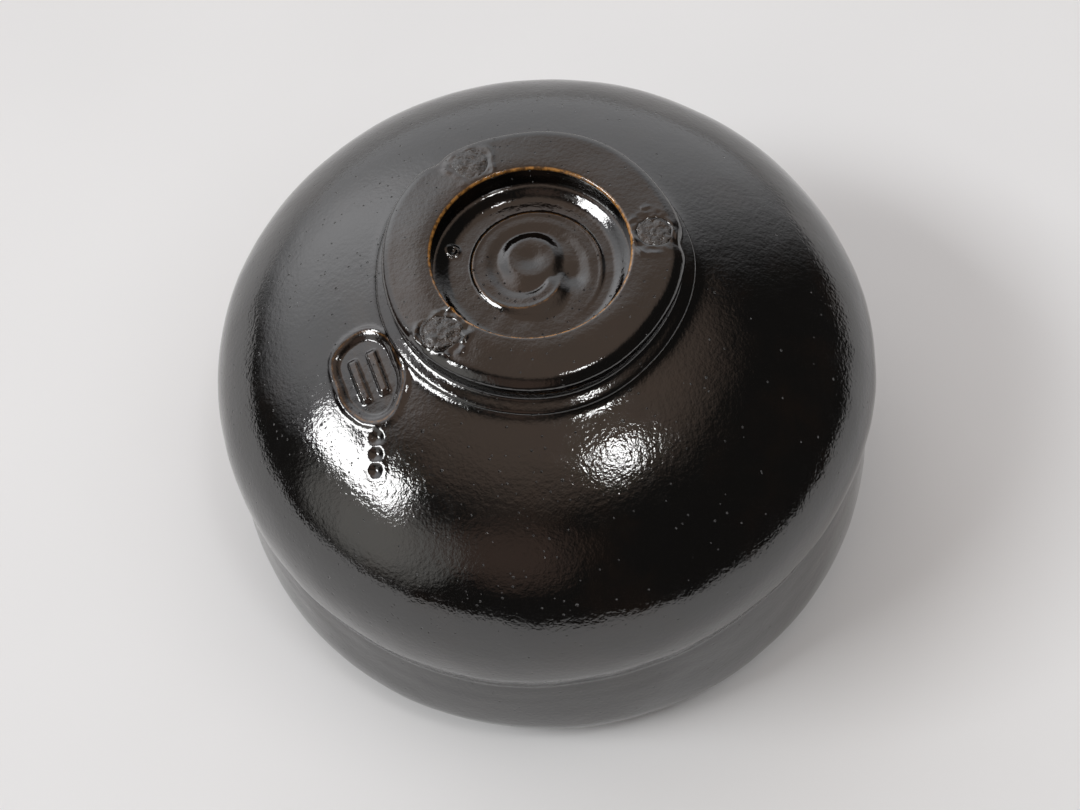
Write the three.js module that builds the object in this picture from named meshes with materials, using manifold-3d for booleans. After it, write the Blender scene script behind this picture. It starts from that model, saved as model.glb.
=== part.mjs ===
// A hand-built black tea bowl, mouth down on its lip with the foot ring up. Millimetres, +Z up.
// Origin: the middle of the mouth, in the plane of the lip.
import * as THREE from 'three';
import { mergeVertices } from 'three/addons/utils/BufferGeometryUtils.js';
import Module from 'manifold-3d';

// Overall sizes.
const HEIGHT = 74;
const BELLY_RADIUS = 62;
const MOUTH_RADIUS = 57.6;
const CREASE_RADIUS = 60.6;
const HIP_RADIUS = 61;
const FOOT_RADIUS = 25.8;
const WELL_RADIUS = 16.9;

// Heights above the lip at which the outside turns, and how full the dome is.
const BELLY_Z = 11.5;
const CREASE_Z = 27.9;
const HIP_Z = 35;
const DOME_POWER = 2.3;

// Layers. A coat of glaze lies on the clay with a hairline between them.
const GLAZE = 0.8;
const GAP = 0.3;
const BED = GLAZE + GAP;
const WALL = 6.4;
const FLOOR = 6.6;
const LIP_EDGE = 2.1;
const LIP_ROLL = 5;
const LIP_SEAM = 0.45;

// The foot ring and the well inside it.
const FOOT_HEIGHT = 7.5;
const FOOT_FLARE = 1.8;
const FOOT_SHOULDER = 2.2;
const FOOT_INNER_EDGE = 0.6;
const WELL_DEPTH = 5.8;
const WELL_FILLET = 1.2;
const FOOT_SHIFT = new THREE.Vector2(-0.3, 0.8);

// The spiral left in the well by the trimming tool, and the seal pressed into the shoulder.
const SPIRAL_CREST = 1.1;
const SPIRAL_WIDTH = 1.5;
const SPIRAL_TURNS = 1.2;
const SEAL_LENGTH = 15.5;
const SEAL_WIDTH = 10.5;
const SEAL_DEPTH = 0.4;
const SEAL_RADIUS = 33.5;
const SEAL_AZIMUTH = -153;
const SEAL_TURN = -13;

// The three spots where stilts held the bowl in the kiln.
const SCAR_RADIUS = 3;
const SCAR_AZIMUTHS = [-139, 113, 2];
const SCAR_DROP = 0.15;
const SCAR_NUDGE = 0.3;

// How far hand work leaves the bowl out of true.
const CREASE_DRIFT = 4;
const CREASE_REACH = 28.6;
const FOOT_WOBBLE = 0.5;
const FOOT_REACH = 12.4;

const SEGMENTS = 40;
const QUARTER = Math.PI / 2;

const shoulderZ = HEIGHT - FOOT_HEIGHT;
const jointRadius = FOOT_RADIUS + FOOT_FLARE;
const wellZ = HEIGHT - WELL_DEPTH;

const wasm = await Module();
wasm.setup();

const point = (r, z) => new THREE.Vector2(r, z);
const steps = (count) => Array.from({ length: count + 1 }, (_, i) => i / count);
const smooth = (value, low, high) => THREE.MathUtils.smoothstep(value, low, high);

/** The outside radius of the wall, from the lip to the hip: belly, crease, hip. */
function wallRadius(z) {
  if (z < BELLY_Z) {
    const rise = Math.sin((QUARTER * z) / BELLY_Z);
    return MOUTH_RADIUS + (BELLY_RADIUS - MOUTH_RADIUS) * rise;
  }
  const [from, to, start, end] =
    z < CREASE_Z
      ? [BELLY_RADIUS, CREASE_RADIUS, BELLY_Z, CREASE_Z]
      : [CREASE_RADIUS, HIP_RADIUS, CREASE_Z, HIP_Z];
  const share = (z - start) / (end - start);
  return from + ((to - from) * (1 - Math.cos(Math.PI * share))) / 2;
}

/** A dome on the hip: a superellipse through (edgeRadius, edgeZ), from the hip to that point. */
function domeLine(hipRadius, edgeRadius, edgeZ, count) {
  const reach = (1 - (edgeRadius / hipRadius) ** DOME_POWER) ** (1 / DOME_POWER);
  const rise = (edgeZ - HIP_Z) / reach;
  const last = Math.asin(reach ** (DOME_POWER / 2));
  return steps(count).map((share) => {
    const angle = last * share;
    const r = hipRadius * Math.max(Math.cos(angle), 0) ** (2 / DOME_POWER);
    return point(share === 1 ? edgeRadius : r, HIP_Z + rise * Math.sin(angle) ** (2 / DOME_POWER));
  });
}

function arc(centre, radius, from, to, count) {
  return steps(count).map((share) => {
    const angle = from + (to - from) * share;
    return point(centre.x + radius * Math.cos(angle), centre.y + radius * Math.sin(angle));
  });
}

/** The wall between two heights, set in from the outside surface. */
function wallLine(low, high, inset, count) {
  return steps(count).map((share) => {
    const z = low + (high - low) * share;
    return point(wallRadius(z) - inset, z);
  });
}

// The glazed surface in three stretches: outside, round the lip, inside.
const outsideLine = [
  ...wallLine(LIP_ROLL + LIP_SEAM, HIP_Z, 0, 8),
  ...domeLine(HIP_RADIUS, jointRadius, shoulderZ, 7).slice(1),
];
const insideLine = [
  ...wallLine(LIP_ROLL + LIP_SEAM, HIP_Z, WALL, 4),
  ...domeLine(HIP_RADIUS - WALL, 0, wellZ - FLOOR, 7).slice(1),
];

function lipLine() {
  const lean = Math.atan((QUARTER * (BELLY_RADIUS - MOUTH_RADIUS)) / BELLY_Z);
  const across = LIP_EDGE * Math.cos(lean);
  const outerZ = LIP_EDGE * (1 - Math.sin(lean));
  const innerZ = LIP_EDGE * (1 + Math.sin(lean));
  const outer = point(wallRadius(outerZ) - across, LIP_EDGE);
  const inner = point(wallRadius(innerZ) - WALL + across, LIP_EDGE);
  return [
    point(wallRadius(LIP_ROLL) - WALL, LIP_ROLL),
    ...arc(inner, LIP_EDGE, -2 * QUARTER - lean, -QUARTER, 3),
    ...arc(outer, LIP_EDGE, -QUARTER, -lean, 3),
    point(wallRadius(LIP_ROLL), LIP_ROLL),
  ];
}

/** A line moved to its left by the given distance, so that every stretch stays parallel. */
function shifted(line, distance) {
  const normals = line.slice(1).map((end, i) => {
    const along = end.clone().sub(line[i]).normalize();
    return point(-along.y, along.x);
  });
  return line.map((at, i) => {
    if (at.x === 0) {
      return point(0, at.y + distance * Math.sign(normals[Math.max(i - 1, 0)].y));
    }
    const before = normals[Math.max(i - 1, 0)];
    const after = normals[Math.min(i, normals.length - 1)];
    const middle = before.clone().add(after).normalize();
    return at.clone().addScaledVector(middle, distance / middle.dot(before));
  });
}

/** The line between two depths under a surface, as one closed outline. */
function layer(line, top, bottom) {
  const outline = [...shifted(line, top), ...shifted(line, bottom).reverse()];
  return [...outline, outline[0].clone()];
}

/** How high the crease rides at this angle, in shares of its greatest drift. */
function creaseDrift(angle) {
  const once = 0.06 * Math.cos(angle) - 0.52 * Math.sin(angle);
  return 0.1 + once + 0.55 * Math.cos(2 * angle) - 0.66 * Math.sin(2 * angle);
}

function footWobble(angle) {
  return 0.6 * Math.sin(3 * angle + 0.8) + 0.4 * Math.sin(5 * angle + 2.1);
}

/** Moves every point the way the potter's hands did, the same for all layers. */
function handWorked(geometry) {
  const places = geometry.getAttribute('position');
  for (let i = 0; i < places.count; i += 1) {
    const [x, y, z] = [places.getX(i), places.getY(i), places.getZ(i)];
    const radius = Math.hypot(x, y);
    const angle = Math.atan2(y, x);
    const below = smooth(z, LIP_ROLL + BED, CREASE_Z);
    const nearCrease = below * (1 - smooth(z, CREASE_Z, CREASE_Z + CREASE_REACH));
    const within = smooth(radius, WELL_RADIUS + BED, FOOT_RADIUS);
    const nearFoot = within * (1 - smooth(radius, jointRadius, jointRadius + FOOT_REACH));
    const high = smooth(z, HIP_Z, shoulderZ);
    const push = (FOOT_WOBBLE * footWobble(angle) * nearFoot * high) / Math.max(radius, 1);
    places.setXYZ(
      i,
      x * (1 + push) + FOOT_SHIFT.x * high,
      y * (1 + push) + FOOT_SHIFT.y * high,
      z + CREASE_DRIFT * creaseDrift(angle) * nearCrease,
    );
  }
  return geometry;
}

/** Keeps only the places of the points, with doubles merged, so that the mesh is closed. */
function closed(geometry) {
  geometry.deleteAttribute('normal');
  geometry.deleteAttribute('uv');
  return mergeVertices(geometry, 1e-4);
}

/** A closed outline turned round the bowl's axis. */
function turned(outline) {
  const flat = outline.map((at) => (at.x < 1e-6 ? point(0, at.y) : at));
  const ordered = THREE.ShapeUtils.area(flat) > 0 ? flat : [...flat].reverse();
  return new THREE.LatheGeometry(ordered, SEGMENTS).rotateX(QUARTER);
}

function toSolid(geometry) {
  const mesh = closed(geometry.clone());
  return new wasm.Manifold(
    new wasm.Mesh({
      numProp: 3,
      vertProperties: new Float32Array(mesh.getAttribute('position').array),
      triVerts: new Uint32Array(mesh.index.array),
    }),
  );
}

function toGeometry(solid) {
  const { vertProperties, triVerts } = solid.getMesh();
  const geometry = new THREE.BufferGeometry();
  geometry.setAttribute('position', new THREE.BufferAttribute(vertProperties, 3));
  geometry.setIndex(new THREE.BufferAttribute(triVerts, 1));
  return geometry;
}

const group = new THREE.Group();

function add(name, geometry, color, roughness, metalness = 0) {
  const material = new THREE.MeshStandardMaterial({ color, roughness, metalness });
  const mesh = new THREE.Mesh(geometry, material);
  mesh.name = name;
  group.add(mesh);
}

const BLACK_GLAZE = 0x17130f;
const AMBER_GLAZE = 0x3a2413;
const CLAY = 0x6b5546;
const SCAR = 0x4a3a2e;

// The foot: clay ring, its coat, and the floor of the well.
const footLine = [
  point(jointRadius - GAP, shoulderZ + GAP),
  point(FOOT_RADIUS + 0.35 * FOOT_FLARE, shoulderZ + 0.15 * FOOT_HEIGHT),
  point(FOOT_RADIUS - 0.1, shoulderZ + 0.32 * FOOT_HEIGHT),
  ...arc(point(FOOT_RADIUS - FOOT_SHOULDER, HEIGHT - FOOT_SHOULDER), FOOT_SHOULDER, 0, QUARTER, 4),
  ...arc(
    point(WELL_RADIUS + FOOT_INNER_EDGE, HEIGHT - FOOT_INNER_EDGE),
    FOOT_INNER_EDGE,
    QUARTER,
    2 * QUARTER,
    2,
  ),
  point(WELL_RADIUS, wellZ - GLAZE),
];
const outsideBed = shifted(outsideLine, BED);
const platformZ = outsideBed.at(-1).y;
const footBed = shifted(footLine, BED);

function footRing() {
  const innerRadius = WELL_RADIUS + BED;
  const sides = footBed.filter((at) => at.y > platformZ + GAP && at.y < HEIGHT - BED + 0.01);
  const upper = sides.filter((at) => at.x > innerRadius + 0.01);
  const outline = [
    point(jointRadius - BED, platformZ + GAP),
    ...upper,
    point(innerRadius, upper.at(-1).y),
    point(innerRadius, platformZ + GAP),
  ];
  return turned([...outline, outline[0].clone()]);
}

/** The clay pot: wall, lip and floor, with a low boss that the foot ring sits round. */
function clayBody() {
  const bossRadius = WELL_RADIUS + GLAZE;
  const inside = shifted([...insideLine].reverse(), BED);
  const lip = shifted(lipLine(), BED).slice(1, -1);
  const outline = [
    ...inside,
    ...lip,
    ...outsideBed,
    point(bossRadius, platformZ),
    point(bossRadius, wellZ - BED),
    point(0, wellZ - BED),
  ];
  return turned([...outline, outline[0].clone()]);
}

/** The radius of the tool's ridge after so many turns, from the middle outwards. */
function spiralRadius(turns) {
  return 4 + 7 * Math.tanh(2.2 * turns) + 1.2 * turns;
}

function wellRelief(radius, angle) {
  const fillet = WELL_FILLET * smooth(radius, WELL_RADIUS - 3.5, WELL_RADIUS - GAP);
  const firstPass = THREE.MathUtils.euclideanModulo(-angle / (2 * Math.PI), 1);
  const passes = [firstPass, firstPass + 1].filter((turns) => turns < SPIRAL_TURNS);
  const ridges = passes.map((turns) => {
    const fade = smooth(turns, 0, 0.12) * (1 - smooth(turns, SPIRAL_TURNS - 0.35, SPIRAL_TURNS));
    return fade * Math.exp(-(((radius - spiralRadius(turns)) / SPIRAL_WIDTH) ** 2));
  });
  const nub = 0.8 * (1 - smooth(radius, 3, 6.5));
  return Math.max(fillet, SPIRAL_CREST * Math.max(nub, ...ridges, 0));
}

function wellGlaze() {
  const edge = WELL_RADIUS - GAP;
  const rings = steps(12).map((share) => point(edge * share, wellZ));
  const outline = [point(0, wellZ - GLAZE), point(edge, wellZ - GLAZE), ...rings.reverse()];
  const disc = turned([...outline, outline[0].clone()]);
  const places = disc.getAttribute('position');
  for (let i = 0; i < places.count; i += 1) {
    const radius = Math.hypot(places.getX(i), places.getY(i));
    const onTop = places.getZ(i) > wellZ - GLAZE / 2;
    const angle = radius < 1e-6 ? 0 : Math.atan2(places.getY(i), places.getX(i));
    places.setZ(i, places.getZ(i) + (onTop ? wellRelief(radius, angle) : 0));
  }
  return disc;
}

/** Lays a shape drawn about the origin on the shoulder, where the seal is. */
function laidOnShoulder(geometry) {
  const reach = (1 - (jointRadius / HIP_RADIUS) ** DOME_POWER) ** (1 / DOME_POWER);
  const rise = (shoulderZ - HIP_Z) / reach;
  const share = SEAL_RADIUS / HIP_RADIUS;
  const height = (1 - share ** DOME_POWER) ** (1 / DOME_POWER);
  const slope = (share / height) ** (DOME_POWER - 1) * (rise / HIP_RADIUS);
  geometry.rotateZ(THREE.MathUtils.degToRad(SEAL_TURN)).rotateY(Math.atan(slope));
  geometry.translate(SEAL_RADIUS, 0, HIP_Z + rise * height);
  return geometry.rotateZ(THREE.MathUtils.degToRad(SEAL_AZIMUTH));
}

/** The oval stamp of the seal, with a slot for each of the two plain bars it leaves standing. */
function sealStamp() {
  const depth = 4 * GLAZE + SEAL_LENGTH / 4;
  const angles = steps(40).slice(1).map((share) => 4 * QUARTER * share);
  const rim = (angle) => point((SEAL_WIDTH / 2) * Math.cos(angle), (SEAL_LENGTH / 2) * Math.sin(angle));
  const oval = new THREE.Shape(angles.map(rim));
  const stamp = new THREE.ExtrudeGeometry(oval, { depth, bevelEnabled: false }).translate(0, 0, -depth / 2);
  const slots = [-1, 1].map((side) => {
    const bar = new THREE.BoxGeometry(SEAL_WIDTH * 0.13, SEAL_LENGTH * 0.54, depth + 1);
    return toSolid(laidOnShoulder(bar.translate(side * SEAL_WIDTH * 0.17, 0, 0)));
  });
  return slots.reduce((rest, slot) => rest.subtract(slot), toSolid(laidOnShoulder(stamp)));
}

function outerGlaze() {
  const coat = toSolid(turned(layer(outsideLine, 0, GLAZE)));
  const skin = toSolid(turned(layer(outsideLine, -GLAZE, SEAL_DEPTH)));
  return toGeometry(coat.subtract(skin.intersect(sealStamp())));
}

/** A round plug on the face of the foot, between two heights. */
function scarPlug(azimuth, radius, low, high) {
  const at = THREE.MathUtils.degToRad(azimuth);
  const middle = (FOOT_RADIUS + WELL_RADIUS) / 2 - SCAR_NUDGE;
  const plug = new THREE.CylinderGeometry(radius, radius, high - low, 16).rotateX(QUARTER);
  return plug.translate(middle * Math.cos(at), middle * Math.sin(at), (high + low) / 2);
}

function footGlaze() {
  const coat = toSolid(turned(layer(footLine, 0, GLAZE)));
  const pockets = SCAR_AZIMUTHS.map((azimuth) =>
    toSolid(scarPlug(azimuth, SCAR_RADIUS + GAP, HEIGHT - BED, HEIGHT + 1)),
  );
  return toGeometry(pockets.reduce((rest, pocket) => rest.subtract(pocket), coat));
}

add('clay_body', handWorked(clayBody()), CLAY, 0.9);
add('foot_ring', handWorked(footRing()), CLAY, 0.9);
add('outer_glaze', handWorked(outerGlaze()), BLACK_GLAZE, 0.12);
add('lip_glaze', handWorked(turned(layer(lipLine(), 0, GLAZE))), BLACK_GLAZE, 0.15);
add('inner_glaze', handWorked(turned(layer(insideLine, 0, -GLAZE))), BLACK_GLAZE, 0.2);
add('foot_glaze', handWorked(footGlaze()), BLACK_GLAZE, 0.2);
add('well_glaze', handWorked(wellGlaze()), AMBER_GLAZE, 0.15);
SCAR_AZIMUTHS.forEach((azimuth, i) => {
  const plug = scarPlug(azimuth, SCAR_RADIUS, HEIGHT - GLAZE, HEIGHT - SCAR_DROP);
  add(`stilt_scar_${i + 1}`, handWorked(plug), SCAR, 0.85);
});

export default group;
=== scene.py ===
# %% [markdown]
# # A black tea bowl, mouth down
# A hand-built tea bowl for whisked tea, set down on its lip so that the foot ring shows.
# It is thick clay under one glossy black coat, with a spiral in the well of the foot,
# three rough spots where stilts held it in the kiln, and a small seal by the foot.
# The sizes come from the frame, and everything here is drawn in millimetres first.

# %% Load the frame
import math

import bmesh
import bpy
from mathutils import Matrix, Vector, noise


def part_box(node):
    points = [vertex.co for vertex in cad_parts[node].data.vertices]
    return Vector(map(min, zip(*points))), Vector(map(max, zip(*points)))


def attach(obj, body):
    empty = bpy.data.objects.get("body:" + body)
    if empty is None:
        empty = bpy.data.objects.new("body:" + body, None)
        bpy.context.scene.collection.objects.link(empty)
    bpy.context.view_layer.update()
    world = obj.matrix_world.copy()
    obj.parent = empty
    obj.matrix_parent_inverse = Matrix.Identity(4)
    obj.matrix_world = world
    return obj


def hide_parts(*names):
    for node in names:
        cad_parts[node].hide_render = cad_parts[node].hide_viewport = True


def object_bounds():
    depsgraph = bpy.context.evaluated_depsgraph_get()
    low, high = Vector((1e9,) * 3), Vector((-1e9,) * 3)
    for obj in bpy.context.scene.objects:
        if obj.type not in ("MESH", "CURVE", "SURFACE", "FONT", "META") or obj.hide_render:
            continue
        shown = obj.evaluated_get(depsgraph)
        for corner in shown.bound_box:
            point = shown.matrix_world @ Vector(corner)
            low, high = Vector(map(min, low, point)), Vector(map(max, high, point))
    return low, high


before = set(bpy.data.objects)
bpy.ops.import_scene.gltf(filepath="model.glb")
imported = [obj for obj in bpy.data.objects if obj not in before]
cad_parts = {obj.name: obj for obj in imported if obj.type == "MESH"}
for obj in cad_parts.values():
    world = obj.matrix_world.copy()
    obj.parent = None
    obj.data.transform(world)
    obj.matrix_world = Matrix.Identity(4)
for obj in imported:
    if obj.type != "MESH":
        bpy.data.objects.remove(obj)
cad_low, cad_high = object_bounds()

MM = 0.001
TURN = 2 * math.pi


def smooth(value, low, high):
    """0 below low, 1 above high, and an easy curve between."""
    share = min(max((value - low) / (high - low), 0), 1)
    return share * share * (3 - 2 * share)


def bell(distance, width):
    """1 in the middle, falling away to both sides."""
    return math.exp(-((distance / width) ** 2))


def lumps(x, y, z, size, seed=0):
    """Smooth lumps between about -1 and 1, of the given size in millimetres."""
    return noise.noise(Vector((x / size + 7.3 * seed, y / size - 3.1 * seed, z / size + seed)))


# %% [markdown]
# ## Sizes
# A potter knows a bowl by a few measures: how high it stands, how wide the belly and the
# mouth are, and how big the foot is. The overall ones are read from the frame, so that the
# glaze lies where the clay is. The heights of the belly, the crease and the hip are the
# outline's own, counted from the lip.

# %% Sizes, in millimetres
well_low, well_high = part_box("well_glaze")
HEIGHT = cad_high.z / MM
BELLY_RADIUS = (cad_high.x - cad_low.x) / MM / 2
COAT = 0.8
HAIRLINE = 0.3
WELL_Z = well_low.z / MM + COAT
WELL_RADIUS = (well_high.x - well_low.x) / MM / 2 + HAIRLINE
FOOT_SHIFT = Vector((-0.3, 0.8))
MOUTH_RADIUS, CREASE_RADIUS, HIP_RADIUS = 57.6, 60.6, 61.0
BELLY_Z, CREASE_Z, HIP_Z = 11.5, 27.9, 35.0
DOME_POWER = 2.3
WALL, FLOOR = 6.4, 6.6
LIP_EDGE, LIP_ROLL = 2.1, 5.15
FOOT_RADIUS, FOOT_HEIGHT, FOOT_FLARE = 25.8, 7.5, 1.8
SHOULDER_Z = HEIGHT - FOOT_HEIGHT
JOINT_RADIUS = FOOT_RADIUS + FOOT_FLARE
print(f"height {HEIGHT:.1f} mm, belly {2 * BELLY_RADIUS:.1f} mm, well {2 * WELL_RADIUS:.1f} mm across")

# %% [markdown]
# ## The outline
# A lathe shape needs only its outline. The wall swells into a belly above the lip, pinches
# in at a crease, swells again at the hip and closes over in a dome. Each stretch is a short
# formula instead of a list of points, so one number changes the shape smoothly. The dome is
# a superellipse: a power of 2 would be an ellipse, and a little more makes fuller shoulders.

# %% The outline of the wall and the dome
CREASE_PINCH, CREASE_SOFTNESS = 0.75, 2.4


def wall_radius(z):
    """The outside radius from the lip up to the hip."""
    if z < BELLY_Z:
        radius = MOUTH_RADIUS + (BELLY_RADIUS - MOUTH_RADIUS) * math.sin(TURN / 4 * z / BELLY_Z)
    else:
        below = z < CREASE_Z
        start, end = (BELLY_Z, CREASE_Z) if below else (CREASE_Z, HIP_Z)
        first, last = (BELLY_RADIUS, CREASE_RADIUS) if below else (CREASE_RADIUS, HIP_RADIUS)
        ease = (1 - math.cos(math.pi * (z - start) / (end - start))) / 2
        radius = first + (last - first) * ease
    away = math.hypot(z - CREASE_Z, 0.35)
    return radius - CREASE_PINCH * math.exp(-away / CREASE_SOFTNESS) * (1 - smooth(away, 4, 7))


def dome_line(hip_radius, edge_radius, edge_z, count):
    """From the hip up to a point on the dome, as (radius, height) pairs."""
    reach = (1 - (edge_radius / hip_radius) ** DOME_POWER) ** (1 / DOME_POWER)
    rise = (edge_z - HIP_Z) / reach
    last = math.asin(reach ** (DOME_POWER / 2))
    line = []
    for i in range(1, count + 1):
        angle = last * i / count
        radius = hip_radius * max(math.cos(angle), 0) ** (2 / DOME_POWER)
        line.append((radius, HIP_Z + rise * math.sin(angle) ** (2 / DOME_POWER)))
    line[-1] = (edge_radius, edge_z)
    return line


def wall_line(low, high, inset, count):
    """The wall between two heights, set in from the outside."""
    heights = [low + (high - low) * i / count for i in range(count + 1)]
    return [(wall_radius(z) - inset, z) for z in heights]


def arc(centre, radius, start, end, count):
    """Points round an arc, with the angles in radians."""
    angles = [start + (end - start) * i / count for i in range(count + 1)]
    return [(centre[0] + radius * math.cos(a), centre[1] + radius * math.sin(a)) for a in angles]


def evened(line, step):
    """The same line with its points about one step apart, which keeps the faces square."""
    points = [Vector(p) for p in line]
    lengths = [(b - a).length for a, b in zip(points, points[1:])]
    total, count = sum(lengths), max(int(sum(lengths) / step), 2)
    out, index, passed = [], 0, 0.0
    for i in range(count + 1):
        wanted = total * i / count
        while index < len(lengths) - 1 and passed + lengths[index] < wanted:
            passed += lengths[index]
            index += 1
        share = min((wanted - passed) / lengths[index], 1)
        out.append(tuple(points[index].lerp(points[index + 1], share)))
    return out


outside_line = evened(
    wall_line(LIP_ROLL, HIP_Z, 0, 240) + dome_line(HIP_RADIUS, JOINT_RADIUS, SHOULDER_Z, 400), 0.48
)
inside_line = evened(
    wall_line(LIP_ROLL, HIP_Z, WALL, 120) + dome_line(HIP_RADIUS - WALL, 0, WELL_Z - FLOOR, 400), 0.9
)


def lip_line():
    """Round the lip from the inside to the outside, with a worn flat that it stands on."""
    lean = math.atan(TURN / 4 * (BELLY_RADIUS - MOUTH_RADIUS) / BELLY_Z)
    across = LIP_EDGE * math.cos(lean)
    outer = (wall_radius(LIP_EDGE * (1 - math.sin(lean))) - across, LIP_EDGE)
    inner = (wall_radius(LIP_EDGE * (1 + math.sin(lean))) - WALL + across, LIP_EDGE)
    round_inside = arc(inner, LIP_EDGE, -TURN / 2 - lean, -TURN / 4, 16)
    round_outside = arc(outer, LIP_EDGE, -TURN / 4, -lean, 16)
    start = inside_line[0]
    end = outside_line[0]
    inside_rise = wall_line(LIP_ROLL, round_inside[0][1], WALL, 6)[1:-1]
    outside_rise = wall_line(round_outside[-1][1], LIP_ROLL, 0, 6)[1:-1]
    return evened([start] + inside_rise + round_inside + round_outside + outside_rise + [end], 0.4)


print(len(outside_line), "points outside,", len(inside_line), "inside")

# %% [markdown]
# ## Hand work
# A turned shape is too true for a hand-built bowl. The crease rides up and down round the
# wall, the foot is a little off the middle and lumpy at its outer edge, and the whole wall
# has soft dents from fingers. Every coat goes through this one function, so that where two
# coats meet their edges still meet.

# %% Hand work
CREASE_DRIFT = 4.0
CREASE_START, CREASE_REACH = 6.1, 28.6
FOOT_WOBBLE = 0.5
FOOT_REACH = 12.4
FINGER_DENTS, SMALL_DENTS = 0.22, 0.08


def crease_drift(angle):
    once = 0.06 * math.cos(angle) - 0.52 * math.sin(angle)
    return 0.1 + once + 0.55 * math.cos(2 * angle) - 0.66 * math.sin(2 * angle)


def foot_wobble(angle):
    return 0.6 * math.sin(3 * angle + 0.8) + 0.4 * math.sin(5 * angle + 2.1)


def hand_worked(x, y, z):
    """Where the potter's hands left a point that a lathe would put at (x, y, z)."""
    radius, angle = math.hypot(x, y), math.atan2(y, x)
    high = smooth(z, HIP_Z, SHOULDER_Z)
    near_crease = smooth(z, CREASE_START, CREASE_Z) * (1 - smooth(z, CREASE_Z, CREASE_Z + CREASE_REACH))
    near_foot = smooth(radius, 18, FOOT_RADIUS)
    near_foot *= 1 - smooth(radius, JOINT_RADIUS, JOINT_RADIUS + FOOT_REACH)
    push = FOOT_WOBBLE * foot_wobble(angle) * near_foot * high
    dents = FINGER_DENTS * lumps(x, y, z, 16) + SMALL_DENTS * lumps(x, y, z, 6, 2)
    push += dents * smooth(z, 1.5, 8) * smooth(radius, 16, 30)
    scale = 1 + push / max(radius, 1)
    rise = CREASE_DRIFT * crease_drift(angle) * near_crease
    return Vector((x * scale + FOOT_SHIFT.x * high, y * scale + FOOT_SHIFT.y * high, z + rise))


# %% [markdown]
# ## Turning a coat of glaze
# Glaze is a thin skin of even depth. Its outline is the surface, and the same line again a
# coat's depth inside it, joined at the ends. Spinning that closed outline gives a closed
# skin. The face that shows has fine steps for the light to play on, and the hidden back has
# few. Edges where front and back meet are marked sharp, so that the shine doesn't bend there.
# Each point also keeps how thin the glaze lies on it, from 0 to 1, for the material to read.

# %% A turned coat
AROUND = 440


def set_in(line, depth):
    """The line moved to its left by a depth, square to its own run."""
    moved = []
    for i, (radius, z) in enumerate(line):
        before, after = line[max(i - 1, 0)], line[min(i + 1, len(line) - 1)]
        along = Vector((after[0] - before[0], after[1] - before[1])).normalized()
        moved.append((radius - along.y * depth, z + along.x * depth))
    if line[0][0] == 0:
        moved[0] = (0, moved[0][1])
    if line[-1][0] == 0:
        moved[-1] = (0, moved[-1][1])
    return moved


def halved_near(bm, middle, reach):
    """Halves the edges near a place, so that small shapes there are crisp."""
    near = [e for e in bm.edges if all((v.co / MM - middle).length < reach for v in e.verts)]
    bmesh.ops.subdivide_edges(bm, edges=near, cuts=1, use_grid_fill=True)


def turned_coat(name, line, depth, shape, back_step=6, refine=None):
    """Spins a coat from its surface line, then sends every point through shape(x, y, z, top)."""
    back = set_in(line, depth)
    back = [back[0]] + back[back_step:-back_step:back_step] + [back[-1]]
    bm = bmesh.new()
    front_layer = bm.verts.layers.float.new("front")
    rim = [bm.verts.new((r * MM, 0, z * MM)) for r, z in line]
    for vert in rim:
        vert[front_layer] = 1
    rim += [bm.verts.new((r * MM, 0, z * MM)) for r, z in reversed(back)]
    edges = [bm.edges.new(pair) for pair in zip(rim, rim[1:])]
    if line[0][0] > 0:
        edges.append(bm.edges.new((rim[-1], rim[0])))
    axis = {"cent": (0, 0, 0), "axis": (0, 0, 1), "dvec": (0, 0, 0)}
    bmesh.ops.spin(bm, geom=rim + edges, angle=TURN, steps=AROUND, use_merge=True, **axis)
    bmesh.ops.remove_doubles(bm, verts=bm.verts, dist=1e-7)
    bmesh.ops.delete(bm, geom=[e for e in bm.edges if not e.link_faces], context="EDGES")
    if refine:
        halved_near(bm, *refine)
    thin_layer = bm.verts.layers.float.new("thin")
    for vert in bm.verts:
        x, y, z = (value / MM for value in vert.co)
        place, thin = shape(x, y, z, vert[front_layer] > 0.5)
        vert.co = place * MM
        vert[thin_layer] = thin
    bmesh.ops.recalc_face_normals(bm, faces=bm.faces)
    mesh = bpy.data.meshes.new(name)
    bm.to_mesh(mesh)
    bm.free()
    mesh.shade_smooth()
    mesh.set_sharp_from_angle(angle=math.radians(50))
    piece = bpy.data.objects.new(name, mesh)
    bpy.context.collection.objects.link(piece)
    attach(piece, "root")
    print(name, len(mesh.polygons), "faces")
    return piece


# %% [markdown]
# ## The wall and its seal
# Before the glaze, the maker pressed a seal into the leather-hard clay beside the foot. Here
# it is a plain oval with two bars standing in it, and three pokes of a round tool below.
# They are pushed into the surface point by point: a stamp leaves soft edges, and a bulge
# round it where the clay went. The faces there are halved first, so that the edges are crisp.

# %% The seal's shape
SEAL_LENGTH, SEAL_WIDTH, SEAL_DEPTH = 16.0, 11.2, 0.6
SEAL_AZIMUTH, SEAL_RADIUS, SEAL_LEAN = math.radians(-153), 33.5, math.radians(-76)
SEAL_BULGE, SEAL_UNEVEN, SEAL_PRESSED = 0.26, 0.09, 0.05
BAR_SIDE, BAR_REACH, BAR_RISE = 1.75, 3.6, 0.8
POKE_DEPTH, POKE_RADIUS = 0.4, 1.4


def dome_height(radius):
    reach = (1 - (JOINT_RADIUS / HIP_RADIUS) ** DOME_POWER) ** (1 / DOME_POWER)
    rise = (SHOULDER_Z - HIP_Z) / reach
    return HIP_Z + rise * (1 - (radius / HIP_RADIUS) ** DOME_POWER) ** (1 / DOME_POWER)


def on_dome(azimuth, radius):
    return Vector((radius * math.cos(azimuth), radius * math.sin(azimuth), dome_height(radius)))


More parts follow.
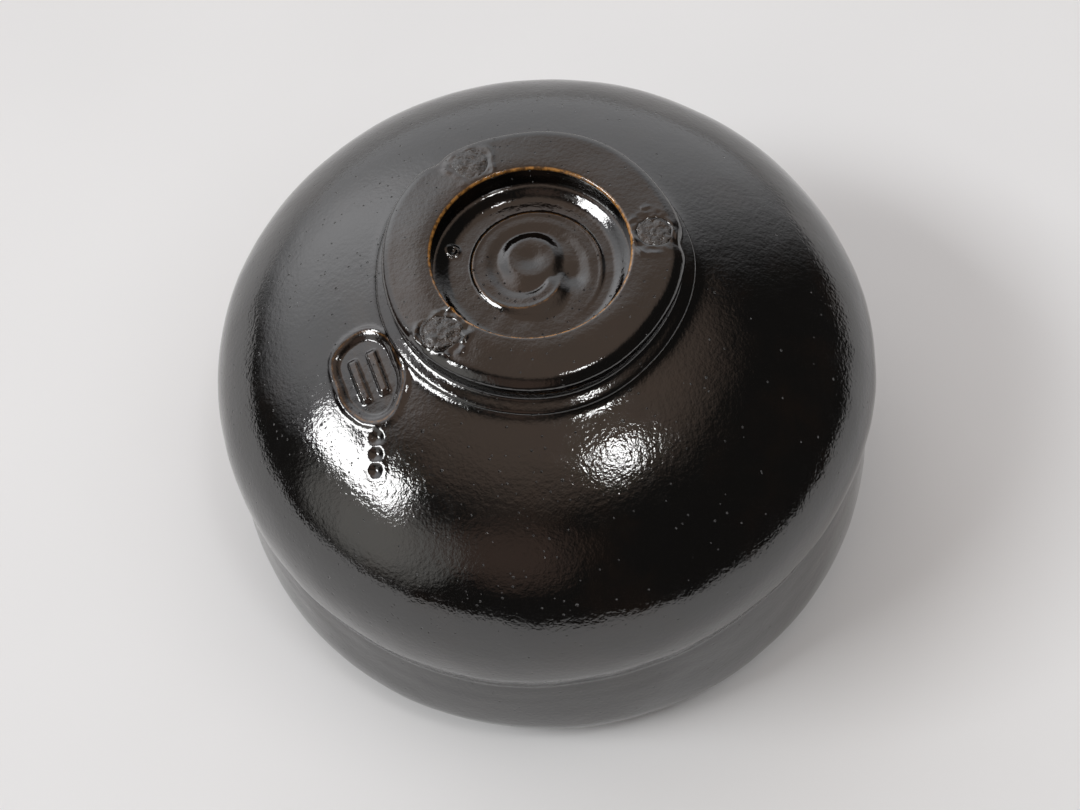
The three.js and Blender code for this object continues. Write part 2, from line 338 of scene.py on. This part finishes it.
def dome_normal(azimuth, radius):
    slope = (dome_height(radius - 0.1) - dome_height(radius + 0.1)) / 0.2
    return Vector((slope * math.cos(azimuth), slope * math.sin(azimuth), 1)).normalized()


seal_middle = on_dome(SEAL_AZIMUTH, SEAL_RADIUS)
seal_up = dome_normal(SEAL_AZIMUTH, SEAL_RADIUS)
seal_along = Vector((math.cos(SEAL_LEAN), math.sin(SEAL_LEAN), 0))
seal_along = (seal_along - seal_up * seal_along.dot(seal_up)).normalized()
seal_across = seal_up.cross(seal_along)
POKES = [(10.8, 2.4), (13.2, 3.6), (15.6, 4.8)]


def seal_relief(place):
    """How far the seal lifts or sinks a point, and how thin the glaze lies on its edges."""
    offset = place - seal_middle
    along, across = offset.dot(seal_along), offset.dot(seal_across)
    if abs(along) > 20 or abs(across) > 12:
        return 0, 0
    ring = math.hypot(along / SEAL_LENGTH, across / SEAL_WIDTH) * 2
    ring += SEAL_UNEVEN * lumps(along, across, 0, 4.5, 12)
    sunk = 1 - smooth(ring, 0.84, 1.0)
    bulge = SEAL_BULGE * bell(ring - 1.12, 0.09) * (1 + 0.8 * lumps(along, across, 0, 3, 13))
    bar = max(1 - smooth(abs(across - side), 0.5, 1.1) for side in (-BAR_SIDE, BAR_SIDE))
    bar *= 1 - smooth(abs(along), BAR_REACH, BAR_REACH + 1)
    pressed = SEAL_PRESSED * lumps(along, across, 0, 1.5, 11) * sunk
    lift = -SEAL_DEPTH * sunk + SEAL_DEPTH * BAR_RISE * bar + bulge + pressed
    thin = 0.5 * bell(ring - 1.06, 0.05) + 0.34 * bar * sunk
    for poke_along, poke_across in POKES:
        away = math.hypot(along - poke_along, across + poke_across)
        lift += -POKE_DEPTH * (1 - smooth(away, 0.2, POKE_RADIUS)) + 0.04 * bell(away - 1.6, 0.5)
        thin += 0.1 * bell(away - 1.3, 0.3)
    return lift, min(thin, 1)


# %% [markdown]
# ## The joint at the foot
# Where the foot ring was luted on, the maker smoothed a small fillet of slip into the corner
# and left a thin ridge round it. The fillet is a lift that dies away down the dome.

# %% Turn the wall, the lip and the inside
FILLET, FILLET_REACH = 0.45, 0.8
THROWING_RINGS, POOL_DEPTH = 0.12, 0.55


def wall_shape(x, y, z, top):
    """The outside wall: fillet at the foot, seal on the shoulder, then the hand work."""
    radius = math.hypot(x, y)
    lift, thin = seal_relief(Vector((x, y, z))) if top and z > 50 else (0, 0)
    fillet = FILLET * math.exp((JOINT_RADIUS - radius) / FILLET_REACH) if z > 55 else 0
    place = hand_worked(x, y, z)
    if lift:
        place += dome_normal(math.atan2(y, x), radius) * lift
    return place + Vector((0, 0, fillet)), thin


def plain_shape(x, y, z, top):
    return hand_worked(x, y, z), 0


def inside_shape(x, y, z, top):
    """The inside: soft throwing rings, and a pool for the last of the tea."""
    radius, angle = math.hypot(x, y), math.atan2(y, x)
    rings = THROWING_RINGS * math.sin(radius * 1.1 + angle) * smooth(radius, 14, 20) * smooth(z, 30, 45)
    pool = POOL_DEPTH * (1 - smooth(radius, 12, 15.5))
    return hand_worked(x, y, z) + Vector((0, 0, rings + pool)), 0


wall = turned_coat("wall_glaze", outside_line, COAT, wall_shape, refine=(seal_middle, 19))
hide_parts("outer_glaze")
lip = turned_coat("lip_coat", lip_line(), COAT, plain_shape)
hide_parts("lip_glaze")
inside = turned_coat("inside_coat", list(reversed(inside_line)), COAT, inside_shape)
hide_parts("inner_glaze")

# %% [markdown]
# ## The foot ring
# The ring was trimmed by hand: a groove under its shoulder, a broad face, and a crisp inner
# edge. The outline gives those. Then the face gets shallow lumps and a slight lean in front
# and on the left, the outer edge a notch and a chip, and each stilt scar a torn rim of glaze
# round a shallow pocket.

# %% Turn the foot's coat
FOOT_SHOULDER, FOOT_INNER_EDGE, FOOT_GROOVE = 2.4, 0.55, 0.6
WELL_FILLET = 1.5
SCAR_AZIMUTHS = [math.radians(a) for a in (-139, 113, 2)]
SCAR_MIDDLE = (FOOT_RADIUS + WELL_RADIUS - 0.6) / 2
SCAR_SIZE = 4.2
SCAR_RIMS, SCAR_ROUGHNESS = [0.5, 0.12, 0.3], [0.2, 0.06, 0.13]
scar_middles = [
    Vector((SCAR_MIDDLE * math.cos(a), SCAR_MIDDLE * math.sin(a), HEIGHT)) for a in SCAR_AZIMUTHS
]
FACE_LUMPS, FRONT_LEAN, LEFT_LEAN = 0.14, 0.55, 0.5
NICKS = [(124, 0.5), (-3, 0.6)]  # degrees round the foot, depth


def foot_side(height):
    """The outer side of the ring, by its height above the joint."""
    flare = FOOT_FLARE * (1 - smooth(height, 0.6, 1.9))
    return FOOT_RADIUS + flare - FOOT_GROOVE * bell(height - 2.5, 1.3)


def foot_line():
    top = FOOT_HEIGHT - FOOT_SHOULDER
    heights = [FILLET + (top - FILLET) * i / 24 for i in range(24)]
    side = [(foot_side(h), SHOULDER_Z + h) for h in heights]
    shoulder = arc((FOOT_RADIUS - FOOT_SHOULDER, HEIGHT - FOOT_SHOULDER), FOOT_SHOULDER, 0, TURN / 4, 16)
    edge_middle = (WELL_RADIUS + FOOT_INNER_EDGE, HEIGHT - FOOT_INNER_EDGE)
    edge = arc(edge_middle, FOOT_INNER_EDGE, TURN / 4, TURN / 2, 8)
    return evened(side + shoulder + edge + [(WELL_RADIUS, WELL_Z + WELL_FILLET)], 0.26)


def scar_relief(x, y):
    """The torn glaze round each stilt scar, and the pocket under its crumb."""
    lift, thin = 0, 0
    for i, middle in enumerate(scar_middles):
        away = math.hypot(x - middle.x, y - middle.y)
        if away > SCAR_SIZE + 3:
            continue
        edge = SCAR_SIZE * (1 + 0.3 * lumps(x, y, 0, 4, i + 3))
        rough = lumps(x, y, 0, 1.3, i + 9) + 0.6 * lumps(x, y, 0, 0.7, i + 5)
        torn = max(SCAR_RIMS[i] * (0.35 + 2 * lumps(x, y, 0, 2.4, i + 1)), 0)
        lift += torn * bell(away - edge, 0.5)
        lift += SCAR_ROUGHNESS[i] * rough * (1 - smooth(away, edge - 0.2, edge + 0.8))
        lift -= 0.5 * (1 - smooth(away, 2.3, 3.0))
        thin += 0.3 * SCAR_RIMS[i] * bell(away - edge, 0.4)
    return lift, thin


def near_angle(angle, target, width):
    turn = (angle - math.radians(target) + math.pi) % TURN - math.pi
    return bell(turn, math.radians(width))


def crisper_edge(x, y, z, angle):
    """The outer edge is round in front, where a thumb went, and nearly square at the back."""
    inward, up = FOOT_RADIUS - FOOT_SHOULDER, HEIGHT - FOOT_SHOULDER
    across, rise = math.hypot(x, y) - inward, z - up
    if across <= 0 or rise <= 0:
        return x, y, z
    power = 2 + 2 * smooth(math.sin(angle - math.radians(35)), -0.5, 0.6)
    size = math.hypot(across, rise)
    grow = ((across / size) ** power + (rise / size) ** power) ** (-1 / power)
    scale = (inward + across * grow) / (inward + across)
    return x * scale, y * scale, up + rise * grow


def foot_shape(x, y, z, top):
    """The foot's coat: lumps on the face, a notch and a chip in the outer edge, the scars."""
    angle = math.atan2(y, x)
    x, y, z = crisper_edge(x, y, z, angle) if top else (x, y, z)
    radius = math.hypot(x, y)
    place = hand_worked(x, y, z)
    face = smooth(z, HEIGHT - 2.2, HEIGHT - 0.4)
    outer = smooth(radius, 22, FOOT_RADIUS) * smooth(z, SHOULDER_Z + 1, SHOULDER_Z + 4)
    nicks = sum(depth * near_angle(angle, azimuth, 4) for azimuth, depth in NICKS)
    place += Vector((-x, -y, -0.4 * radius)) / max(radius, 1) * outer * nicks
    lift, thin = scar_relief(x, y) if top else (0, 0)
    soft = FACE_LUMPS * lumps(x, y, z, 9, 4) + 0.015 * lumps(x, y, z, 2.6, 6)
    lean = FRONT_LEAN * smooth(-math.sin(angle), -0.3, 0.8)
    lean += LEFT_LEAN * smooth(math.cos(angle - math.radians(155)), 0.3, 0.95)
    soft -= lean * smooth(radius, 18.5, FOOT_RADIUS)
    inner_edge = bell(math.hypot(radius - WELL_RADIUS - 0.12, z - HEIGHT + 0.15), 0.38)
    ridge = 0.5 * bell(z - HEIGHT + 3.2, 0.35) * near_angle(angle, -85, 25) * (radius > 22)
    place.z += (lift + soft * smooth(radius, WELL_RADIUS, WELL_RADIUS + 2)) * face
    return place, min(thin * face + inner_edge + ridge, 1) * top


foot = turned_coat("foot_coat", foot_line(), COAT, foot_shape, back_step=8)
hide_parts("foot_glaze")

# %% [markdown]
# ## The spiral in the well
# The maker cut the well with one turn of a bent tool and left its path: a ridge that starts
# by the middle and winds outwards, a terrace inside it, and a round nub at the centre. The
# ridge's radius grows with the turns, quickly at first. Each point of the floor asks how far
# it is from the ridge, and takes its height from that.

# %% Turn the floor of the well
SPIRAL_TURNS = 1.2
TERRACE, CREST, NUB, HOLLOW = 0.75, 0.12, 0.7, 0.4
BUBBLE = 0.3
nub_middle, hollow_middle = Vector((0.0, 1.9)), Vector((6.9, -2.4))
bubble_middle = Vector((-13.2, 5.4))


def spiral_radius(turns):
    return 4 + 7 * math.tanh(2.2 * turns) + 1.2 * turns


def well_relief(radius, x, y):
    """The floor's height, and how thin the glaze lies there."""
    first = (-math.atan2(y, x) / TURN) % 1
    height, thin = 0.0, 0.0
    for turns in (first, first + 1):
        if turns < SPIRAL_TURNS:
            off = radius - spiral_radius(turns)
            fade = smooth(turns, 0, 0.16) * (1 - smooth(turns, SPIRAL_TURNS - 0.3, SPIRAL_TURNS))
            broad = bell(turns - 0.2, 0.13)
            shelf = (1 - smooth(off, -0.1, 0.5 + 2.8 * broad)) * smooth(off, -4.2, -1.9)
            step = TERRACE * (0.45 + 0.55 * broad) * shelf + CREST * bell(off + 0.2, 0.35)
            height = max(height, fade * step)
            thin = max(thin, fade * bell(off + 0.05, 0.28))
    from_nub = math.hypot(x - nub_middle.x, y - nub_middle.y)
    slope_end = 6.0 + 2.2 * smooth(-y, 0, 5)
    nub = NUB * (1 - smooth(from_nub, 3.6, slope_end)) - 0.3 * bell(from_nub, 2.2)
    hollow = HOLLOW * bell(math.hypot(x - hollow_middle.x, y - hollow_middle.y), 1.9)
    bubble = BUBBLE * bell(math.hypot(x - bubble_middle.x, y - bubble_middle.y) - 0.9, 0.35)
    fillet = WELL_FILLET * smooth(radius, WELL_RADIUS - 3.4, WELL_RADIUS) ** 1.5
    return max(height, nub) - hollow + bubble + fillet, 0.5 * thin


def well_shape(x, y, z, top):
    radius = math.hypot(x, y)
    height, thin = well_relief(radius, x, y)
    if not top:
        height = WELL_FILLET * (radius > WELL_RADIUS - COAT)
    ripple = 0.05 * lumps(x, y, 0, 3, 8) if top and radius < WELL_RADIUS - 0.5 else 0
    return hand_worked(x, y, z) + Vector((0, 0, height + ripple)), thin * top


well_rings = int(WELL_RADIUS / 0.25)
well_line = [(WELL_RADIUS * (1 - i / well_rings), WELL_Z) for i in range(well_rings + 1)]
well = turned_coat("well_floor", well_line, COAT, well_shape)
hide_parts("well_glaze")

# %% [markdown]
# ## Stilt scars
# In the kiln the foot stood on three little clay points. Where they were broken off, the
# glaze is torn and a rough crumb is left in the pocket. Each crumb is a flattened sphere with
# its points pushed about by noise, so that no two are alike.

# %% Three crumbs in their pockets
CRUMB_SIZE, CRUMB_RISE = 3.6, 0.1


def scar_crumb(number, middle):
    bm = bmesh.new()
    bmesh.ops.create_icosphere(bm, subdivisions=5, radius=1)
    for vert in bm.verts:
        x, y, z = vert.co
        edge = CRUMB_SIZE * (1 + 0.25 * lumps(x, y, 0, 0.9, number))
        rough = 0.3 * lumps(x, y, z, 0.4, number + 4) + 0.14 * lumps(x, y, z, 0.18, number + 8)
        height = middle.z + CRUMB_RISE - 0.5 + 0.5 * z + rough * (0.4 + SCAR_RIMS[number - 1])
        at = Vector((middle.x + x * edge, middle.y + y * edge, height))
        at.xy += FOOT_SHIFT
        vert.co = at * MM
    bmesh.ops.recalc_face_normals(bm, faces=bm.faces)
    mesh = bpy.data.meshes.new(f"scar_crumb_{number}")
    bm.to_mesh(mesh)
    bm.free()
    mesh.shade_smooth()
    crumb = bpy.data.objects.new(f"scar_crumb_{number}", mesh)
    bpy.context.collection.objects.link(crumb)
    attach(crumb, "root")
    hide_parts(f"stilt_scar_{number}")
    return crumb


crumbs = [scar_crumb(i + 1, middle) for i, middle in enumerate(scar_middles)]
print(len(crumbs), "crumbs")

# %% [markdown]
# ## Materials
# Nodes are wired from here with two small helpers. Every pattern reads Object coordinates,
# which are metres on the bowl itself, so a noise scale of 1000 gives grains of a millimetre.

# %% Helpers for nodes
def new_material(name):
    material = bpy.data.materials.new(name)
    material.use_nodes = True
    tree = material.node_tree
    shader = tree.nodes["Principled BSDF"]
    place = tree.nodes.new("ShaderNodeTexCoord").outputs["Object"]
    return material, tree, shader, place


def node(tree, kind, inputs=(), **settings):
    """Adds a node, sets its settings, and gives each input a value or a link."""
    made = tree.nodes.new(kind)
    for key, value in settings.items():
        setattr(made, key, value)
    for key, value in dict(inputs).items():
        if isinstance(value, bpy.types.NodeSocket):
            tree.links.new(value, made.inputs[key])
        else:
            made.inputs[key].default_value = value
    return made


def sum_of(tree, first, second, kind="ADD"):
    return node(tree, "ShaderNodeMath", {0: first, 1: second}, operation=kind).outputs[0]


def eased(tree, value, low, high, bottom=0.0, top=1.0):
    """A smooth step from one value to another."""
    inputs = {"Value": value, "From Min": low, "From Max": high, "To Min": bottom, "To Max": top}
    return node(tree, "ShaderNodeMapRange", inputs, interpolation_type="SMOOTHSTEP").outputs["Result"]


def grain(tree, place, scale, detail=2.0, roughness=0.5):
    inputs = {"Vector": place, "Scale": scale, "Detail": detail, "Roughness": roughness}
    return node(tree, "ShaderNodeTexNoise", inputs).outputs["Fac"]


def blend_colours(tree, share, first, second):
    mix = node(tree, "ShaderNodeMix", {"Factor": share}, data_type="RGBA")
    for name, value in (("A", first), ("B", second)):
        socket = [s for s in mix.inputs if s.name == name and s.type == "RGBA"][0]
        if isinstance(value, bpy.types.NodeSocket):
            tree.links.new(value, socket)
        else:
            socket.default_value = (*value, 1)
    return [s for s in mix.outputs if s.type == "RGBA"][0]


# %% [markdown]
# ## The black glaze
# The coat is nearly black, with drifts of brown where it ran thin, and amber where it left
# an edge almost bare. Its skin isn't a mirror: it has orange peel of about a millimetre, a
# finer ripple on that, and pinholes in loose groups where bubbles burst. Cells of a Voronoi
# pattern are the holes: each cell has its own random colour, and only some cells get a hole.
# The holes are also coloured darker than the glaze round them: that darkness is painted shade.

# %% The black glaze
def pinholes(tree, place, scale, share, smallest, largest):
    """1 in a pinhole, 0 elsewhere. They lie in loose groups, with fewer on the +X side."""
    cells = node(tree, "ShaderNodeTexVoronoi", {"Vector": place, "Scale": scale})
    chance = node(tree, "ShaderNodeSeparateColor", {"Color": cells.outputs["Color"]})
    drift = eased(tree, grain(tree, place, 70, 1), 0.35, 0.7, share * 0.35, share)
    sideways = node(tree, "ShaderNodeSeparateXYZ", {"Vector": place}).outputs["X"]
    drift = sum_of(tree, drift, eased(tree, sideways, -0.01, 0.035, 1.0, 0.25), "MULTIPLY")
    chosen = sum_of(tree, chance.outputs["Red"], drift, "LESS_THAN")
    size = eased(tree, chance.outputs["Green"], 0.0, 1.0, smallest, largest)
    half = sum_of(tree, size, 0.45, "MULTIPLY")
    hole = eased(tree, cells.outputs["Distance"], half, size, 1.0, 0.0)
    return sum_of(tree, hole, chosen, "MULTIPLY")


GLAZE_IOR = 1.9
BLACK, BROWN, AMBER = (0.0028, 0.0026, 0.0025), (0.014, 0.0072, 0.004), (0.44, 0.205, 0.048)
# painted shade: the colour that fills each pinhole, darker than the glaze round it
PINHOLE_SHADE = (0.0012, 0.0011, 0.001)
# scale, detail, depth in metres: a slow swell, the orange peel, a fine ripple
SKIN = [(260, 1, 0.00005), (1350, 2, 0.000045), (3000, 1, 0.000012)]
HOLE_DEPTH = 0.0003


def black_glaze(name, brown_share=0.5, peel=1.0):
    material, tree, shader, place = new_material(name)
    thin = node(tree, "ShaderNodeAttribute", attribute_name="thin").outputs["Fac"]
    drift = eased(tree, grain(tree, place, 55, 4, 0.6), 0.45, 0.75, 0.0, brown_share)
    ground = blend_colours(tree, drift, BLACK, BROWN)
    speckle = eased(tree, grain(tree, place, 1100, 2), 0.35, 0.62, 0.2, 1.0)
    amber_share = sum_of(tree, eased(tree, thin, 0.25, 0.9), speckle, "MULTIPLY")
    amber = blend_colours(tree, amber_share, ground, AMBER)
    small = pinholes(tree, place, 900, 0.6, 0.11, 0.21)
    large = pinholes(tree, place, 460, 0.3, 0.09, 0.15)
    holes = sum_of(tree, small, large, "MAXIMUM")
    # Painted shade: every pinhole takes a darker colour than the glaze round it.
    colour = blend_colours(tree, holes, amber, PINHOLE_SHADE)
    skin = None
    for scale, detail, depth in SKIN:
        swell = {"Height": grain(tree, place, scale, detail), "Distance": depth * peel}
        if skin:
            swell["Normal"] = skin
        skin = node(tree, "ShaderNodeBump", swell).outputs["Normal"]
    pit = {"Height": holes, "Distance": HOLE_DEPTH, "Normal": skin}
    pitted = node(tree, "ShaderNodeBump", pit, invert=True).outputs["Normal"]
    glossy = eased(tree, grain(tree, place, 400, 3), 0.3, 0.7, 0.05, 0.12)
    rough = sum_of(tree, glossy, sum_of(tree, holes, 0.04, "MULTIPLY"))
    tree.links.new(colour, shader.inputs["Base Color"])
    tree.links.new(rough, shader.inputs["Roughness"])
    tree.links.new(pitted, shader.inputs["Normal"])
    shader.inputs["IOR"].default_value = GLAZE_IOR
    return material


wall_glaze = black_glaze("black_glaze", 0.5)
foot_glaze = black_glaze("foot_black_glaze", 0.9, 0.9)
well_glaze = black_glaze("well_amber_glaze", 1.0, 0.8)
for piece, material, slot in (
    (wall, wall_glaze, "black_glaze"),
    (lip, wall_glaze, "black_glaze"),
    (inside, wall_glaze, "black_glaze"),
    (foot, foot_glaze, "black_glaze"),
    (well, well_glaze, "thin_glaze"),
):
    piece.data.materials.append(material)

# %% [markdown]
# ## Crumbs and clay
# The crumbs are clay and kiln dirt half melted into the glaze: darker than clay, rough, with
# glassy spots. The clay itself is hidden under the coats. It gets a sandy brown of its own,
# because a hidden part may be looked at by itself.

# %% Crumbs and clay
def crumb_material():
    material, tree, shader, place = new_material("scar_crumb")
    patches = eased(tree, grain(tree, place, 900, 3, 0.6), 0.4, 0.65)
    colour = blend_colours(tree, patches, (0.0035, 0.003, 0.0025), (0.016, 0.009, 0.005))
    rough = eased(tree, grain(tree, place, 1300, 2), 0.35, 0.65, 0.12, 0.36)
    height = {"Height": grain(tree, place, 1300, 3, 0.6), "Distance": 0.0003}
    tree.links.new(colour, shader.inputs["Base Color"])
    tree.links.new(rough, shader.inputs["Roughness"])
    tree.links.new(node(tree, "ShaderNodeBump", height).outputs["Normal"], shader.inputs["Normal"])
    shader.inputs["IOR"].default_value = GLAZE_IOR
    return material


def clay_material():
    material, tree, shader, place = new_material("sandy_clay")
    sand = eased(tree, grain(tree, place, 2400, 4, 0.7), 0.3, 0.7)
    colour = blend_colours(tree, sand, (0.22, 0.15, 0.11), (0.38, 0.29, 0.22))
    height = {"Height": grain(tree, place, 1800, 5, 0.7), "Distance": 0.0002}
    tree.links.new(colour, shader.inputs["Base Color"])
    tree.links.new(node(tree, "ShaderNodeBump", height).outputs["Normal"], shader.inputs["Normal"])
    shader.inputs["Roughness"].default_value = 0.9
    return material


crumb_look = crumb_material()
for crumb in crumbs:
    crumb.data.materials.append(crumb_look)
clay_look = clay_material()
for name in ("clay_body", "foot_ring"):
    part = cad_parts[name]
    for index in range(max(len(part.material_slots), 1)):
        if part.material_slots:
            part.material_slots[index].material = clay_look
        else:
            part.data.materials.append(clay_look)

# %% [markdown]
# ## The table
# A plain pale sheet, wide enough to fill the view. It is a little rough, so that the bowl
# leaves only a soft shadow on it and no reflection.

# %% The table
TABLE_HALF = 2.5


def pale_table():
    bm = bmesh.new()
    bmesh.ops.create_grid(bm, x_segments=4, y_segments=4, size=TABLE_HALF)
    mesh = bpy.data.meshes.new("table")
    bm.to_mesh(mesh)
    bm.free()
    table = bpy.data.objects.new("table", mesh)
    bpy.context.collection.objects.link(table)
    material, tree, shader, place = new_material("pale_table")
    mottle = eased(tree, grain(tree, place, 9, 3), 0.3, 0.7)
    colour = blend_colours(tree, mottle, (0.807, 0.823, 0.838), (0.832, 0.848, 0.863))
    tree.links.new(colour, shader.inputs["Base Color"])
    shader.inputs["Roughness"].default_value = 0.75
    shader.inputs["Specular IOR Level"].default_value = 0.2
    mesh.materials.append(material)
    return table


pale_table()

# %% [markdown]
# ## Light
# Black glaze shows the room more than itself, so the light is what gives it form. A soft
# window stands to the left, a small lamp hangs high in front on the right, the wall behind
# is bright and the room towards the viewer is dark. The room is a few soft patches on the
# world's sky, each a direction, a spread and a colour. A third light only lifts the shadow
# on the table: it is hidden from glossy rays, so the glaze doesn't show it. Beyond the edge
# of the table a low view sees a plain pale backdrop, and only the reflections see the room.

# %% The room
def towards(azimuth, elevation):
    """A direction: azimuth 0 is +X and 90 is +Y; elevation is above the table."""
    a, e = math.radians(azimuth), math.radians(elevation)
    return Vector((math.cos(a) * math.cos(e), math.sin(a) * math.cos(e), math.sin(e)))


ROOM = [
    # azimuth, elevation, where the patch begins and is full (as cosines), colour
    (90, 6, 0.50, 0.92, (0.92, 0.92, 0.94)),
    (138, 37, 0.80, 0.99, (0.98, 0.98, 1.00)),
    (90, 80, 0.74, 0.966, (0.42, 0.31, 0.245)),
    (-152, 26, 0.88, 0.995, (0.74, 0.72, 0.68)),
    (-110, 42, 0.92, 0.998, (0.24, 0.155, 0.12)),
]
AMBIENT = (0.032, 0.030, 0.028)
BACKDROP = (0.74, 0.74, 0.73)


def dim_room():
    world = bpy.data.worlds.new("room")
    bpy.context.scene.world = world
    world.use_nodes = True
    tree = world.node_tree
    sky = tree.nodes["Background"]
    direction = tree.nodes.new("ShaderNodeTexCoord").outputs["Generated"]
    total = None
    for azimuth, elevation, begins, full, colour in ROOM:
        aim = {0: direction, 1: towards(azimuth, elevation)}
        facing = node(tree, "ShaderNodeVectorMath", aim, operation="DOT_PRODUCT").outputs["Value"]
        share = eased(tree, facing, begins, full)
        scaled = {0: colour, "Scale": share}
        patch = node(tree, "ShaderNodeVectorMath", scaled, operation="SCALE").outputs["Vector"]
        both = {0: patch, 1: AMBIENT if total is None else total}
        total = node(tree, "ShaderNodeVectorMath", both, operation="ADD").outputs["Vector"]
    straight = tree.nodes.new("ShaderNodeLightPath").outputs["Is Camera Ray"]
    tree.links.new(blend_colours(tree, straight, total, BACKDROP), sky.inputs["Color"])


dim_room()

# %% The window, the lamp and the fill
def soft_light(name, azimuth, elevation, distance, width, height, radiance, turn=0.0):
    """A flat rectangle of light that faces the foot, with its power worked out from its glow."""
    light = bpy.data.lights.new(name, "AREA")
    light.shape = "RECTANGLE"
    light.size, light.size_y = width, height
    light.energy = radiance * math.pi * width * height
    lamp = bpy.data.objects.new(name, light)
    bpy.context.collection.objects.link(lamp)
    aim = Vector((0, 0, SHOULDER_Z * MM))
    out = towards(azimuth, elevation)
    face = out.to_track_quat("Z", "Y").to_matrix() @ Matrix.Rotation(math.radians(turn), 3, "Z")
    lamp.matrix_world = Matrix.LocRotScale(aim + out * distance, face.to_quaternion(), None)
    return lamp


soft_light("window", -173, 42, 3.0, 1.42, 0.72, 12.8, turn=23)
soft_light("high_lamp", -42, 71, 1.2, 0.14, 0.14, 16)
fill = soft_light("fill", -30, 62, 2.0, 1.6, 1.6, 1.2)
fill.visible_glossy = False

# %% [markdown]
# ## The camera
# It looks down on the foot at about sixty degrees, a little rolled, from about a third of a
# metre, so that near things look a touch larger, as they do in the hand.

# %% The camera
CAMERA_PLACE = Vector((-1.82, -154.2, 303.5))
CAMERA_DOWN, CAMERA_ROLL = math.radians(61.37), math.radians(-6.97)
CAMERA_LENS = 54.67


def bowl_camera():
    camera = bpy.data.objects.new("camera", bpy.data.cameras.new("camera"))
    bpy.context.collection.objects.link(camera)
    ahead = Vector((0, math.cos(CAMERA_DOWN), -math.sin(CAMERA_DOWN)))
    level, upright = Vector((1, 0, 0)), Vector((0, math.sin(CAMERA_DOWN), math.cos(CAMERA_DOWN)))
    right = level * math.cos(CAMERA_ROLL) + upright * math.sin(CAMERA_ROLL)
    up = upright * math.cos(CAMERA_ROLL) - level * math.sin(CAMERA_ROLL)
    camera.matrix_world = Matrix.LocRotScale(
        CAMERA_PLACE * MM, Matrix((right, up, -ahead)).transposed().to_quaternion(), None
    )
    camera.data.lens = CAMERA_LENS
    camera.data.sensor_width = 36
    camera.data.clip_start = 0.01
    bpy.context.scene.camera = camera


bowl_camera()
bpy.context.scene.view_settings.view_transform = "Standard"
